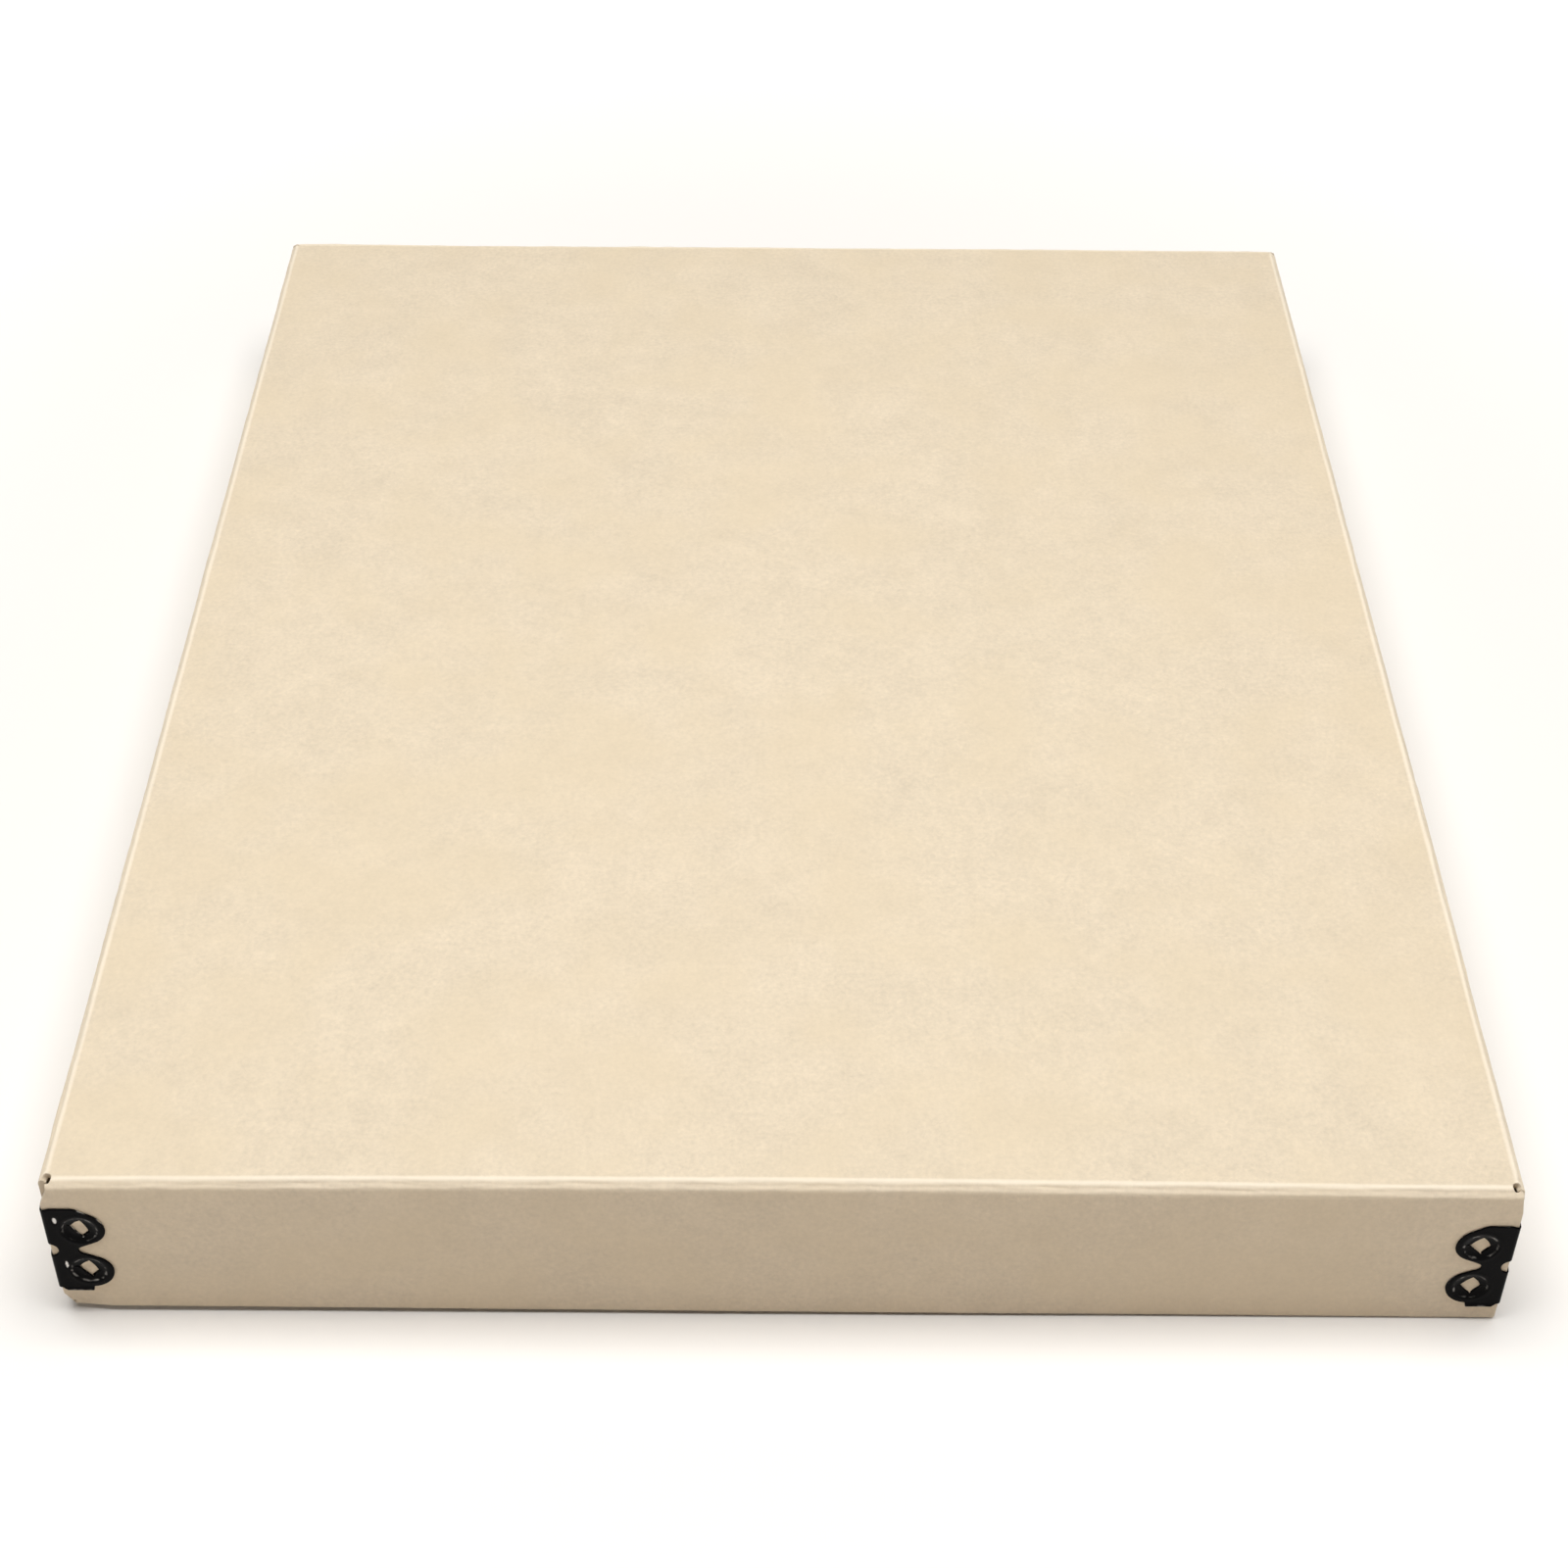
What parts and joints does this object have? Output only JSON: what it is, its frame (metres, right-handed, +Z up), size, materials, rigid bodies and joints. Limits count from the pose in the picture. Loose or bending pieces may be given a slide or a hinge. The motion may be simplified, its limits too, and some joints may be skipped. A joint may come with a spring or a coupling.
{
  "type": "archival box",
  "caption": "Shallow rectangular storage box of thick cream board: an open tray under a full-depth lift-off lid, held at the corners by black metal stays.",
  "frame": {"origin": "on the table, at the middle of the closed box's footprint", "axes": "+Y runs along the longer side, away from the front wall; +X runs to the right along the shorter side; +Z is up, the way the lid lifts"},
  "size_m": [0.3024, 0.3786, 0.0399],
  "materials": {
    "cream_board": "matte",
    "black_enamel": "gloss"
  },
  "bodies": {
    "tray": {"tray_board": "cream_board", "tray_corner_stay_front_left": "black_enamel", "tray_corner_stay_front_right": "black_enamel", "tray_corner_stay_back_left": "black_enamel", "tray_corner_stay_back_right": "black_enamel"},
    "lid": {"lid_board": "cream_board", "lid_corner_stay_front_left": "black_enamel", "lid_corner_stay_front_right": "black_enamel", "lid_corner_stay_back_left": "black_enamel", "lid_corner_stay_back_right": "black_enamel"}
  },
  "joints": [
    {"name": "lid_lift", "type": "slide", "parent": "tray", "child": "lid", "axis": [0, 0, 1], "range_m": [0, 0.15]}
  ]
}
